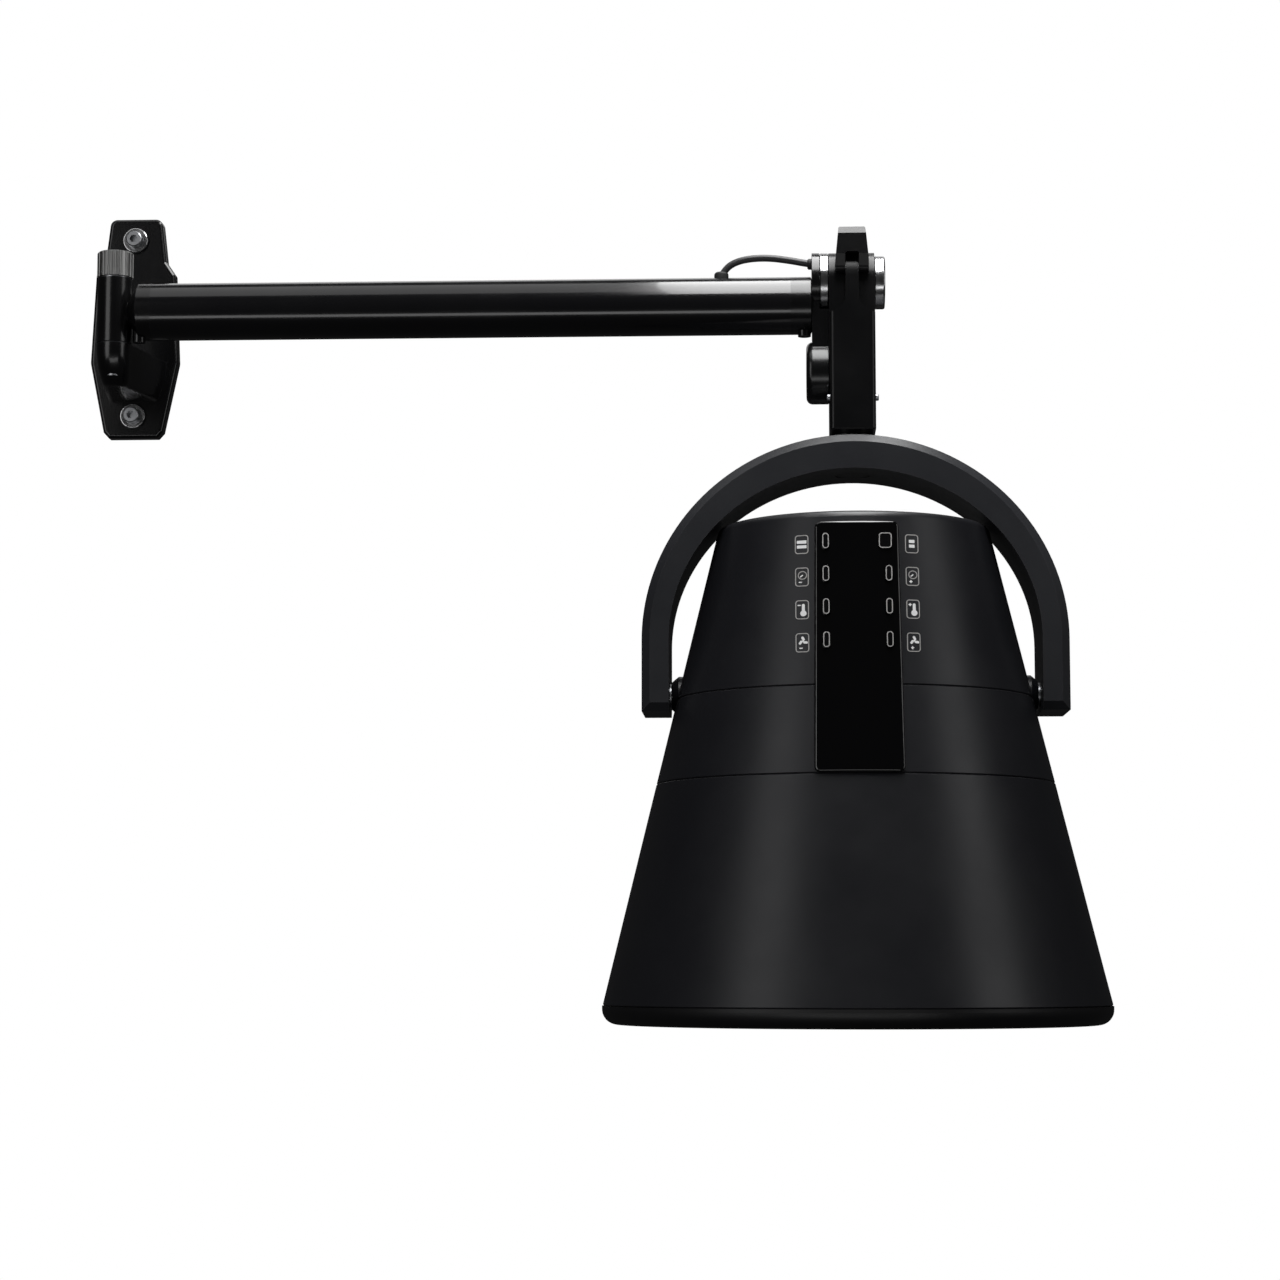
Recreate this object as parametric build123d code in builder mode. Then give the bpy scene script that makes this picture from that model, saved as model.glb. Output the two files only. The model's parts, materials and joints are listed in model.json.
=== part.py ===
from build123d import *
import os
from math import atan, cos, pi, radians, sin, sqrt, tan

os.makedirs("parts", exist_ok=True)

# Wall-mounted hood hair dryer, in millimetres.
# The origin is on the wall plate's back face, midway between the two wall screws.
# +X runs along the arm, +Y into the wall and +Z up.

# ---- main layout ---------------------------------------------------------------------------
pin_to_wall = 88.0        # hinge pin's axis to the wall
reach = 600.0             # hinge pin to the hood's axis
arm_drop = 3.0            # arm's axis below the origin
barrel_rise = 18.4        # elbow barrel's axis above the arm's axis
hood_top_drop = 185.6     # hood's flat top below the origin
hood_rim_r = 200.0        # hood's outer radius at its lower edge
hood_height = 378.0       # lower edge to the flat top
hood_slope = 0.245        # radius lost for each millimetre of height
seam_low_drop = 204.5     # lower parting line below the hood's top
seam_high_drop = 137.0    # upper parting line below the hood's top
pivot_drop = 133.4        # trunnion axis below the hood's top
shell_wall = 3.0
seam_gap = 0.3            # open line between two shells
seam_bevel = 0.8          # bevel on each side of a parting line
run_clear = 0.05          # radial clearance of a running fit
side_clear = 0.3          # clearance between faces that pass each other

# ---- wall bracket --------------------------------------------------------------------------
plate_thick = 12.0
plate_outline = [(21.7, 94.0), (26.0, 57.0), (33.5, 46.0), (37.0, -29.0), (25.0, -88.0), (20.5, -93.0)]
plate_edge_r = 3.0
console_z = -29.7         # flat top of the console
# The console's sections: drop below its top, nose towards the wall, nose radius, wing place and radius.
console_sections = [(0.0, 0.0, 14.0, 21.0, 7.0), (16.0, 2.0, 13.2, 19.0, 6.5), (33.0, 12.0, 10.0, 14.0, 6.0)]
console_round = 5.0
pin_depth = 26.0          # hinge pin's seat in the console
screw_spacing = 150.0
wall_screw_r = 4.0
wall_screw_depth = 45.0   # thread length in the wall
wall_screw_neck_r = 3.6
wall_screw_hole_r = 4.5
wall_screw_head_r = 6.5
wall_screw_head_h = 8.0
wall_screw_socket = (3.45, 4.5)   # hexagon's radius and depth
cup_r = 10.6
cup_h = 3.4
cup_dish = 1.4
pin_r = 6.0
pin_thread_r = 5.0
thrust_washer_h = 0.9

# ---- arm -----------------------------------------------------------------------------------
sleeve_r = 14.05
sleeve_len = 53.0
sleeve_z = -28.5          # sleeve's lower end
bush_r = 9.0
bush_len = 16.0
knob_r = 14.7
knob_len = 20.6
knob_flutes = 18
knob_flute_r = 1.55
knob_dish = 1.2
knob_washer_h = 1.0
tube_r = 23.25
tube_wall = 2.0
tube_start = 33.0
tube_end_gap = 49.0       # tube's right end to the hood's axis
spigot_len = 25.0
spigot_wall = 5.0
fit_clear = 0.05          # radial clearance of the spigots in the tube
collar_cone = 6.0         # length of the right collar's end cone
root_cone_start = 12.5
root_cone_end = 21.4
root_cone_r = 10.0        # cone's radius at its start
lock_boss_r = 5.2
lock_boss_drop = 2.8
lock_boss_back = 4.0      # lock screws' axis towards the room from the arm's axis
lock_screw_r = 3.0
inlet_x = 90.3
inlet_r = 4.4
outlet_x = 495.2
outlet_r = 4.2
grommet_flange = 1.6
lead_r = 2.8
lead_entry_rise = 15.8    # lead's entry above the elbow barrel's axis
# The jumper lead's route from the outlet grommet to the elbow, as x and z.
lead_route = [(495.2, 22.0), (498.6, 28.2), (506.5, 33.6), (518.5, 36.4),
              (534.0, 36.8), (551.0, 34.4), (562.0, 32.2)]
lead_turn_share = 0.45    # share of a run that its arc may use

# ---- elbow ---------------------------------------------------------------------------------
link_half = 18.3          # half the hanging link's width
ring_r = 24.3
ring_thick = 7.0
ear_thick = 5.9
cap_r = 21.4
cap_thick = 8.2
axle_r = 8.0
axle_bore_r = 3.5
pod_r = 25.0
pod_z = -58.4
pod_left = 36.5           # pod's left face to the hood's axis
ear_web_half = 17.0
cap_screw_r = 2.6
cap_screw_head_r = 5.6

# ---- link and lever ------------------------------------------------------------------------
barrel_r = 24.0
rib_r = 32.0
rib_half = 5.2
link_back = 24.0
link_bottom = -109.5
swivel_r = 10.0
swivel_bush_r = 13.0
swivel_bush_len = 18.0
swivel_bore_top = -60.0
wire_bore_r = 4.5
lever_pin_r = 1.75
lever_pin_at = (-28.2, 7.0)   # from the barrel's axis, back and up
lever_half_top = 10.6
lever_half_low = 13.4
lever_round = 1.5         # upper corners
lever_top = 39.2          # above the barrel's axis
lever_slot_top = 17.6     # above the barrel's axis
lever_leg_r = 4.5
shoulder_rise = 1.6       # shoulders' middle above the arm's axis
cavity = (24.0, 46.0, 32.0)   # wiring cavity: wide, high and deep
cavity_z = -36.0
cover_rim = 4.0
cover_plate = 2.5
barrel_bush_r = 10.5
barrel_bush_len = 12.0
link_screw_z = -83.2
link_screw_y = -26.0
link_screw_r = 2.8
link_screw_shank_r = 1.5

# ---- yoke ----------------------------------------------------------------------------------
yoke_half = 168.0         # outer half width
yoke_leg = 21.5           # leg's thickness
yoke_crown = -114.2       # top of the crown
yoke_crown_thick = 27.6
yoke_depth = 80.0
yoke_spring = 41.4        # where the arch meets the straight legs, above the trunnions
yoke_foot_drop = 14.6     # legs' ends below the trunnions
yoke_bevel = 6.5
groove_width = 9.0
groove_depth = 14.0
cover_width = 15.0
cover_thick = 2.4
nut_r = 13.0              # across the swivel nut's corners, halved
nut_cap_r = 13.6
nut_cap_h = 1.6
clip_drop = 5.5           # retaining clip below the top of the swivel's bore
trunnion_r = 6.0
trunnion_head_r = 9.5
trunnion_head_h = 4.0
trunnion_boss_r = 15.6
trunnion_boss_end_r = 11.0
trunnion_washer_h = 1.2

# ---- hood ----------------------------------------------------------------------------------
hood_top_round = 6.5
lip_height = 8.0
lip_thick = 2.0
rim_height = 15.0
rim_round = 12.0
rim_inner_r = 176.5
bowl_r = 177.0
bowl_top_r = 150.0
bowl_h = 200.0
bowl_round = 90.0
bowl_wall = 2.0
bowl_hole_r = 3.5
bowl_wall_rows = [(28, 24), (50, 24), (72, 24), (94, 24)]     # height and number of holes
bowl_top_rows = [(18, 6), (38, 12), (60, 18), (84, 24)]       # radius and number of holes
bowl_screw_h = 13.0
bowl_screw_r = 3.4
top_land = 15.4           # flat ring between the top edge and the grille
grille_thick = 3.0
grille_slots = 28
grille_slot_mid = 58.0    # slots' middle from the hood's axis
grille_slot = (44.0, 4.0)     # length and width
grille_hub_r = 24.0
grille_screw_inset = 4.5
chassis_drop = 156.0      # chassis plate's underside below the hood's top
chassis_thick = 3.0
chassis_open_r = 58.0
chassis_vent = (34.0, 12.0)   # length and width
chassis_vent_mid = 94.0
chassis_vents = 8
lug_width = 34.0
lug_height = 38.0
lug_hole_r = 9.0
lug_x = 124.0             # inner face of a chassis lug from the hood's axis
duct_r = 74.0
duct_wall = 2.5
duct_len = 82.0
duct_foot = 9.0           # width of the duct's lower flange
coil_rings = (26.0, 40.0, 54.0)
coil_levels = (-6.0, 6.0)     # coils' middles from the heater's middle
coil_r = 2.1
heater_rise = 14.5        # heater's middle above the duct's lower end
fan_r = 68.0
fan_hub_r = 17.0
fan_blades = 7
fan_h = 40.0              # rotor's underside above the chassis
fan_len = 24.0
fan_blade = (34.0, 2.0, 32.0)     # width, thickness and pitch in degrees
motor_r = 27.0
motor_len = 42.0
shaft_r = 3.0

# ---- control panel -------------------------------------------------------------------------
panel_top_drop = 9.2      # panel's upper end below the hood's top
panel_low_drop = 204.2    # panel's lower end below the hood's top
panel_half_top = 32.0
panel_half_low = 33.9
panel_proud = 3.2
panel_seat = 1.0          # depth of the panel's recess in the shells
panel_corner = 4.5
panel_round = 2.0
key_first_drop = 25.0     # upper keys' middle below the hood's top
window_drop = 17.0        # panel window's upper edge below the hood's top
window_low_drop = 126.0   # and its lower edge
window_half = 28.5
key_pitch = 25.9
key_rows = 4
key_x = 23.9
key_width = 5.6
key_height = 13.2
wide_key_width = 10.4
wide_key_x = 21.5
key_proud = 0.9
key_clear = 0.2
key_stem = 7.0            # key's length behind the panel's face
key_travel = 1.0
board_depth = 14.0        # board's face behind the panel's face line
board_thick = 1.6
post_inset = 3.5
post_low = -50.0          # lower posts below the panel's middle
post_r = 2.4



def cone_r(h):
    """Hood's outer radius at height h above its lower edge."""
    return hood_rim_r - hood_slope * h


# ---- worked-out places ---------------------------------------------------------------------
axis_y = -pin_to_wall
arm_z = -arm_drop
barrel_z = arm_z + barrel_rise
rim_z = -hood_top_drop - hood_height
tube_end = reach - tube_end_gap
sleeve_top = sleeve_z + sleeve_len
tilt = atan(hood_slope)
seam_low_h = hood_height - seam_low_drop
seam_high_h = hood_height - seam_high_drop
pivot_h = hood_height - pivot_drop
chassis_h = hood_height - chassis_drop
pivot_z = rim_z + pivot_h
yoke_centre_z = pivot_z + yoke_spring
yoke_foot = pivot_z - yoke_foot_drop
yoke_in = yoke_half - yoke_leg
link_front = -rib_r
arch_rise = yoke_crown - yoke_centre_z
knob_z = sleeve_top + knob_washer_h + side_clear
spigot_r = tube_r - tube_wall - fit_clear
link_left = reach - link_half
link_right = reach + link_half
link_mid_y = (link_back + link_front) / 2
elbow_left = link_left - side_clear - ring_thick - side_clear - ear_thick
shoulder_r = link_half - rib_half
shoulder_z = arm_z + shoulder_rise
lead_entry_z = barrel_z + lead_entry_rise
lock_z = arm_z - tube_r - lock_boss_drop
lock_xs = (root_cone_end, elbow_left - 1 - lock_boss_r)
clip_z = swivel_bore_top - clip_drop
boss_end = yoke_in - trunnion_washer_h - side_clear
grille_r = cone_r(hood_height) - top_land
panel_top_h = hood_height - panel_top_drop
panel_low_h = hood_height - panel_low_drop
panel_outline = [(panel_half_top, panel_top_h), (panel_half_low, panel_low_h)]
window_top_h = hood_height - window_drop
window_low_h = hood_height - window_low_drop
panel_mid_h = (window_low_h + window_top_h) / 2
key_first_h = hood_height - key_first_drop
bowl_seat_r = bowl_r - (bowl_r - bowl_top_r) * bowl_screw_h / bowl_h + 0.4
chassis_r = cone_r(chassis_h + chassis_thick) - shell_wall - 2.5
duct_z = rim_z + chassis_h + chassis_thick
heater_z = duct_z + heater_rise
fan_z = duct_z + fan_h
motor_z = fan_z + fan_len + 4
mount_z = duct_z + duct_len
vertical = Axis((reach, axis_y, 0), (0, 0, 1))


def across(x, z=arm_z):
    """Plane square to the arm at x, with its origin above or below the arm's line."""
    return Plane(origin=(x, axis_y, z), x_dir=(0, 1, 0), z_dir=(1, 0, 0))


def level(z, x=0.0):
    """Horizontal plane at z, centred on the hinge pin or on another upright axis."""
    return Plane(origin=(x, axis_y, z), x_dir=(1, 0, 0), z_dir=(0, 0, 1))


def facing(y, x=0.0, z=0.0):
    """Upright plane that faces the room."""
    return Plane(origin=(x, y, z), x_dir=(1, 0, 0), z_dir=(0, -1, 0))


def disc(plane, radius, thick, bore=0.0, mode=Mode.ADD):
    """A disc, ring or rod that grows from the plane along its normal."""
    with BuildSketch(plane) as section:
        Circle(radius)
        if bore:
            Circle(bore, mode=Mode.SUBTRACT)
    extrude(section.sketch, amount=thick, mode=mode)


def hexagon(plane, radius, thick, mode=Mode.ADD):
    """A hexagonal head or socket that grows from the plane along its normal."""
    with BuildSketch(plane) as section:
        RegularPolygon(radius, 6)
    extrude(section.sketch, amount=thick, mode=mode)


def turned(plane, points, axis, mode=Mode.ADD):
    """A solid of revolution from a closed outline."""
    with BuildSketch(plane) as outline:
        Polygon(*points, align=None)
    revolve(outline.sketch, axis=axis, mode=mode)


def mirrored(points):
    """An outline's right half, followed by its mirror image."""
    return points + [(-x, z) for x, z in reversed(points)]


def circles(piece, radius):
    """Circular edges of one radius."""
    return piece.edges().filter_by(GeomType.CIRCLE).filter_by(lambda e: abs(e.radius - radius) < 0.01)


def finish(piece, name):
    """Label a finished piece and write its file."""
    piece.part.label = name
    export_step(piece.part, f"parts/{name}.step")


def in_hood(x, depth, h):
    """A point on the hood's own axes: across, towards the room, up from the lower edge."""
    return (reach + x, axis_y - depth, rim_z + h)


hood_side = facing(axis_y, reach, rim_z)
arm_line = Axis((0, axis_y, arm_z), (1, 0, 0))
arm_side = facing(axis_y, 0, arm_z)

# ============================================================================================
# Wall bracket: plate, console and the fixed hinge pin
# ============================================================================================
with BuildPart() as console:
    for drop, nose_y, nose_r, wing_x, wing_r in console_sections:
        with BuildSketch(Plane.XY.offset(console_z - drop)):
            with Locations((0, axis_y + nose_y)):
                Circle(nose_r)
            with Locations((-wing_x, -plate_thick), (wing_x, -plate_thick)):
                Circle(wing_r)
            make_hull()
    loft()
    fillet(console.faces().sort_by(Axis.Z)[0].edges(), console_round)
    split(bisect_by=Plane.XZ, keep=Keep.TOP)

with BuildPart() as wall_bracket:
    with BuildSketch(Plane.XZ) as plate_sketch:
        Polygon(*mirrored(plate_outline), align=None)
        fillet(plate_sketch.vertices().group_by(Axis.Y)[-1], 6)
        fillet(plate_sketch.vertices().filter_by(lambda v: abs(v.Y - plate_outline[2][1]) < 0.1), 3)
        fillet(plate_sketch.vertices().filter_by(lambda v: abs(v.Y - plate_outline[3][1]) < 0.1), 10)
    extrude(amount=plate_thick)
    fillet(wall_bracket.faces().sort_by(Axis.Y)[0].edges(), plate_edge_r)
    add(console.part)
    disc(level(console_z), pin_r, -pin_depth, mode=Mode.SUBTRACT)
    with Locations(*[(0, -plate_thick, s * screw_spacing / 2) for s in (1, -1)]):
        Cylinder(wall_screw_hole_r, 4 * plate_thick, rotation=(90, 0, 0), mode=Mode.SUBTRACT)
finish(wall_bracket, "wall_bracket")

with BuildPart() as cup_washers:
    for side in (1, -1):
        seat = facing(-plate_thick, 0, side * screw_spacing / 2)
        disc(seat, cup_r, cup_h, wall_screw_hole_r)
        disc(seat.offset(cup_h - cup_dish), wall_screw_head_r + 0.6, cup_dish, mode=Mode.SUBTRACT)
    fillet(circles(cup_washers, cup_r).group_by(Axis.Y)[0], cup_h / 3)
finish(cup_washers, "cup_washers")

with BuildPart() as wall_screws:
    for side in (1, -1):
        z = side * screw_spacing / 2
        head_y = -plate_thick - cup_h + cup_dish
        disc(facing(head_y, 0, z), wall_screw_head_r, wall_screw_head_h)
        disc(facing(0, 0, z), wall_screw_neck_r, -head_y)
        disc(facing(0, 0, z), wall_screw_r, -wall_screw_depth)
        socket_r, socket_depth = wall_screw_socket
        hexagon(facing(head_y - wall_screw_head_h, 0, z), socket_r, -socket_depth, mode=Mode.SUBTRACT)
    chamfer(wall_screws.faces().sort_by(Axis.Y)[-1].edges(), 1.5)
    chamfer(circles(wall_screws, wall_screw_head_r).group_by(Axis.Y)[0], 0.7)
finish(wall_screws, "wall_screws")

with BuildPart() as hinge_pin:
    disc(level(console_z - pin_depth), pin_r, pin_depth + sleeve_top - console_z + knob_washer_h)
    disc(level(sleeve_top + knob_washer_h), pin_thread_r, knob_len - 4)
    chamfer(hinge_pin.faces().sort_by(Axis.Z)[-1].edges(), 1)
finish(hinge_pin, "hinge_pin")

with BuildPart() as thrust_washer:
    disc(level(console_z), sleeve_r - 0.5, thrust_washer_h, pin_r + run_clear)
finish(thrust_washer, "thrust_washer")

# ---- clamp knob on the top of the pin ------------------------------------------------------
with BuildPart() as clamp_knob:
    disc(level(knob_z), knob_r, knob_len)
    chamfer(clamp_knob.faces().sort_by(Axis.Z)[-1].edges(), 1.2)
    with BuildSketch(level(knob_z)):
        with PolarLocations(knob_r + 0.5, knob_flutes):
            Circle(knob_flute_r)
    extrude(amount=knob_len, mode=Mode.SUBTRACT)
    disc(level(knob_z), pin_thread_r + run_clear, knob_len - 4, mode=Mode.SUBTRACT)
    disc(level(knob_z + knob_len), knob_r - 4.5, -knob_dish, mode=Mode.SUBTRACT)
finish(clamp_knob, "clamp_knob")

with BuildPart() as knob_washer:
    disc(level(sleeve_top + side_clear / 2), sleeve_r - 1.5, knob_washer_h, pin_r + run_clear)
finish(knob_washer, "knob_washer")

# ============================================================================================
# Arm: root fitting, tube, elbow and the jumper lead
# ============================================================================================
with BuildPart() as root_fitting:
    turned(arm_side, [(2, 0), (root_cone_start, root_cone_r), (root_cone_end, tube_r), (tube_start, tube_r),
                      (tube_start, spigot_r), (tube_start + spigot_len, spigot_r),
                      (tube_start + spigot_len, spigot_r - spigot_wall),
                      (tube_start + 2, spigot_r - spigot_wall), (tube_start + 2, 0)], arm_line)
    disc(level(sleeve_z), sleeve_r, sleeve_len)
    boss_plane = Plane(origin=(lock_xs[0], axis_y - lock_boss_back, lock_z))
    disc(boss_plane, lock_boss_r, 20)
    disc(level(sleeve_z), bush_r, sleeve_len, mode=Mode.SUBTRACT)
    disc(boss_plane, lock_screw_r, 10, mode=Mode.SUBTRACT)
finish(root_fitting, "root_fitting")

with BuildPart() as sleeve_bushes:
    disc(level(sleeve_z), bush_r, bush_len, pin_r + run_clear)
    disc(level(sleeve_top), bush_r, -bush_len, pin_r + run_clear)
finish(sleeve_bushes, "sleeve_bushes")

with BuildPart() as arm_tube:
    disc(across(tube_start), tube_r, tube_end - tube_start, tube_r - tube_wall)
    disc(level(arm_z, inlet_x), inlet_r, 2 * tube_r, mode=Mode.SUBTRACT)
    disc(level(arm_z, outlet_x), outlet_r, 2 * tube_r, mode=Mode.SUBTRACT)
finish(arm_tube, "arm_tube")

with BuildPart() as tube_grommets:
    disc(level(arm_z + tube_r - 1, outlet_x), outlet_r + grommet_flange, 6.0)
    fillet(tube_grommets.edges().sort_by(Axis.Z)[-1], 2.4)
    disc(across(outlet_x - 10), tube_r, 20, mode=Mode.SUBTRACT)
    disc(level(arm_z + tube_r - tube_wall - 2, outlet_x), outlet_r, 5)
    disc(level(arm_z + tube_r - tube_wall - 3.2, outlet_x), outlet_r + grommet_flange, 2.2)
    disc(level(arm_z, outlet_x), lead_r, 2 * tube_r, mode=Mode.SUBTRACT)
    disc(level(arm_z + tube_r - tube_wall - 1.5, inlet_x), inlet_r, tube_wall + 0.9, lead_r + 0.2)
    disc(level(arm_z + tube_r - tube_wall - 3.2, inlet_x), inlet_r + grommet_flange, 2.2, lead_r + 0.2)
finish(tube_grommets, "tube_grommets")

# The jumper lead leaves the tube through the grommet, arches over and enters the elbow.
route = [Vector(x, axis_y, z) for x, z in lead_route] + [Vector(elbow_left, axis_y, lead_entry_z)]
runs = [(b - a).length for a, b in zip(route, route[1:])]
turns = [(b - a).get_angle(c - b) for a, b, c in zip(route, route[1:], route[2:])]
radii = [lead_turn_share * min(a, b) / tan(radians(t) / 2) for a, b, t in zip(runs, runs[1:], turns)]
with BuildPart() as jumper_lead:
    with BuildLine() as lead_path:
        FilletPolyline(*route, radius=radii)
    with BuildSketch(Plane(origin=lead_path.line @ 0, z_dir=lead_path.line % 0)):
        Circle(lead_r)
    sweep()
print("jumper lead length and volume over section:",
      round(lead_path.wires()[0].length, 1), round(jumper_lead.part.volume / (pi * lead_r**2), 1))
finish(jumper_lead, "jumper_lead")

with BuildPart() as lead_in_arm:
    disc(across(inlet_x), lead_r, outlet_x - inlet_x)
finish(lead_in_arm, "lead_in_arm")

with BuildPart() as elbow_housing:
    disc(across(reach - pod_left, pod_z), pod_r, pod_left - link_half - side_clear)
    fillet(elbow_housing.edges().sort_by(Axis.X)[0], 5)
    chamfer(elbow_housing.edges().sort_by(Axis.X)[-1], 0.6)
    inner_r = spigot_r - spigot_wall
    turned(arm_side, [(tube_end - spigot_len, inner_r), (tube_end - spigot_len, spigot_r),
                      (tube_end, spigot_r), (tube_end, tube_r), (elbow_left - 1, tube_r),
                      (elbow_left + collar_cone, 7), (elbow_left + collar_cone, 0),
                      (tube_end + 4, 0), (tube_end + 4, inner_r)], arm_line)
    disc(across(elbow_left, barrel_z), ring_r, ear_thick)
    with BuildSketch(across(elbow_left)):
        with Locations((0, (pod_z - arm_z) / 2)):
            Rectangle(2 * ear_web_half, arm_z - pod_z)
    extrude(amount=ear_thick)
    web_top = barrel_z - ring_r - side_clear
    with BuildSketch(across(elbow_left)):
        with Locations((0, (pod_z + web_top) / 2 - arm_z)):
            Rectangle(2 * ear_web_half, web_top - pod_z)
    extrude(amount=link_left - side_clear - elbow_left)
    boss_plane = Plane(origin=(lock_xs[1], axis_y - lock_boss_back, lock_z))
    disc(boss_plane, lock_boss_r, 16)
    disc(boss_plane, lock_screw_r, 10, mode=Mode.SUBTRACT)
    disc(across(elbow_left, barrel_z), axle_r, 2 * ear_thick, mode=Mode.SUBTRACT)
    disc(across(elbow_left, lead_entry_z), lead_r + 0.2, 3, mode=Mode.SUBTRACT)
finish(elbow_housing, "elbow_housing")

with BuildPart() as lead_gland:
    gland_plane = across(elbow_left, lead_entry_z)
    disc(gland_plane, lead_r + 1.6, -3.5)
    chamfer(lead_gland.edges().sort_by(Axis.X)[0], 1.0)
    disc(gland_plane, lead_r, -10, mode=Mode.SUBTRACT)
finish(lead_gland, "lead_gland")

# ---- elbow pivot ---------------------------------------------------------------------------
with BuildPart() as pivot_axle:
    disc(across(elbow_left, barrel_z), axle_r, link_right + side_clear + 4 - elbow_left, axle_bore_r)
finish(pivot_axle, "pivot_axle")

with BuildPart() as pivot_ring:
    disc(across(link_left - side_clear, barrel_z), ring_r, -ring_thick, axle_r)
    chamfer(circles(pivot_ring, ring_r), 0.8)
finish(pivot_ring, "pivot_ring")

with BuildPart() as pivot_cap:
    disc(across(link_right + side_clear, barrel_z), cap_r, cap_thick)
    fillet(circles(pivot_cap, cap_r).sort_by(Axis.X)[-1], 1.6)
    chamfer(circles(pivot_cap, cap_r).sort_by(Axis.X)[0], 0.6)
    disc(across(link_right + side_clear, barrel_z), axle_r, 4, mode=Mode.SUBTRACT)
    disc(across(link_right + side_clear + cap_thick, barrel_z), cap_screw_head_r + 0.6, -3,
         mode=Mode.SUBTRACT)
    disc(across(link_right, barrel_z), cap_screw_r, 20, mode=Mode.SUBTRACT)
finish(pivot_cap, "pivot_cap")

with BuildPart() as arm_screws:
    for x in lock_xs:
        start = Plane(origin=(x, axis_y - lock_boss_back, lock_z + 0.8))
        disc(start, lock_screw_r, 8)
        hexagon(start, 1.6, 3, mode=Mode.SUBTRACT)
    screw_seat = across(link_right + side_clear + cap_thick - 3, barrel_z)
    disc(screw_seat, cap_screw_head_r, 2.8)
    disc(screw_seat, cap_screw_r, -2.2)
    hexagon(screw_seat.offset(2.8), 2.2, -1.8, mode=Mode.SUBTRACT)
finish(arm_screws, "arm_screws")

with BuildPart() as friction_washers:
    for x in (0.2, 2.2):
        disc(across(link_right - 4 + x, barrel_z), axle_r + 4.6, 1.8, axle_r)
finish(friction_washers, "friction_washers")

# ============================================================================================
# Hanging link and its lever
# ============================================================================================
with BuildPart() as hanger_link:
    with BuildSketch(level(link_bottom, reach)):
        with Locations((0, link_mid_y)):
            RectangleRounded(2 * link_half, link_back - link_front, 4)
    extrude(amount=barrel_z - link_bottom)
    disc(across(link_left, barrel_z), barrel_r, 2 * link_half)
    disc(across(reach - rib_half, barrel_z), rib_r, 2 * rib_half)
    # beside the rib the front is cut back to the barrel, down to a round shoulder
    for side in (-1, 1):
        with BuildSketch(facing(axis_y + link_front - 1, reach, shoulder_z)):
            with Locations((side * link_half, 0)):
                Circle(shoulder_r)
            with Locations((side * (link_half + rib_half + 1) / 2, barrel_r)):
                Rectangle(shoulder_r + 1, 2 * barrel_r)
        extrude(amount=link_front + barrel_r - 1, mode=Mode.SUBTRACT)
    disc(across(link_left, barrel_z), barrel_bush_r, 2 * link_half, mode=Mode.SUBTRACT)
    disc(across(link_right, barrel_z), axle_r + 5, -4, mode=Mode.SUBTRACT)
    pin_y, pin_z = lever_pin_at
    lever_pin_plane = Plane(origin=(reach, axis_y + pin_y, barrel_z + pin_z),
                            x_dir=(0, 1, 0), z_dir=(1, 0, 0))
    disc(lever_pin_plane.offset(-rib_half), lever_pin_r, 2 * rib_half, mode=Mode.SUBTRACT)
    disc(level(link_bottom, reach), swivel_bush_r, swivel_bore_top - link_bottom, mode=Mode.SUBTRACT)
    with Locations(Plane(origin=(reach, axis_y + link_back, cavity_z))):
        wide, high, deep = cavity
        Box(wide, 2 * deep, high, mode=Mode.SUBTRACT)
        Box(wide + 2 * cover_rim, 2 * cover_plate, high + 2 * cover_rim, mode=Mode.SUBTRACT)
    with Locations(*[(reach + side * link_half, axis_y + link_screw_y, link_screw_z) for side in (-1, 1)]):
        Cylinder(link_screw_shank_r, 20, rotation=(0, 90, 0), mode=Mode.SUBTRACT)
    chamfer(hanger_link.faces().sort_by(Axis.Z)[0].outer_wire().edges(), 1)
finish(hanger_link, "hanger_link")

with BuildPart() as link_bushes:
    disc(across(link_left, barrel_z), barrel_bush_r, barrel_bush_len, axle_r + run_clear)
    disc(across(link_right - 4, barrel_z), barrel_bush_r, -barrel_bush_len, axle_r + run_clear)
    disc(level(link_bottom, reach), swivel_bush_r, swivel_bush_len, swivel_r + run_clear)
    disc(level(swivel_bore_top - 6, reach), swivel_bush_r, -10, swivel_r + run_clear)
finish(link_bushes, "link_bushes")

with BuildPart() as link_cover:
    with Locations(Plane(origin=(reach, axis_y + link_back - cover_plate / 2, cavity_z))):
        Box(wide + 2 * cover_rim - 0.4, cover_plate, high + 2 * cover_rim - 0.4)
    chamfer(link_cover.faces().sort_by(Axis.Y)[-1].edges(), 0.5)
finish(link_cover, "link_cover")

with BuildPart() as link_screws:
    for side in (-1, 1):
        seat = Plane(origin=(reach + side * link_half, axis_y + link_screw_y, link_screw_z),
                     z_dir=(side, 0, 0))
        disc(seat, link_screw_r, 2.3)
        disc(seat, link_screw_shank_r, -9)
        hexagon(seat.offset(2.3), 1.1, -1.2, mode=Mode.SUBTRACT)
    heads = circles(link_screws, link_screw_r)
    fillet([heads.sort_by(Axis.X)[0], heads.sort_by(Axis.X)[-1]], 0.8)
finish(link_screws, "link_screws")

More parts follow.
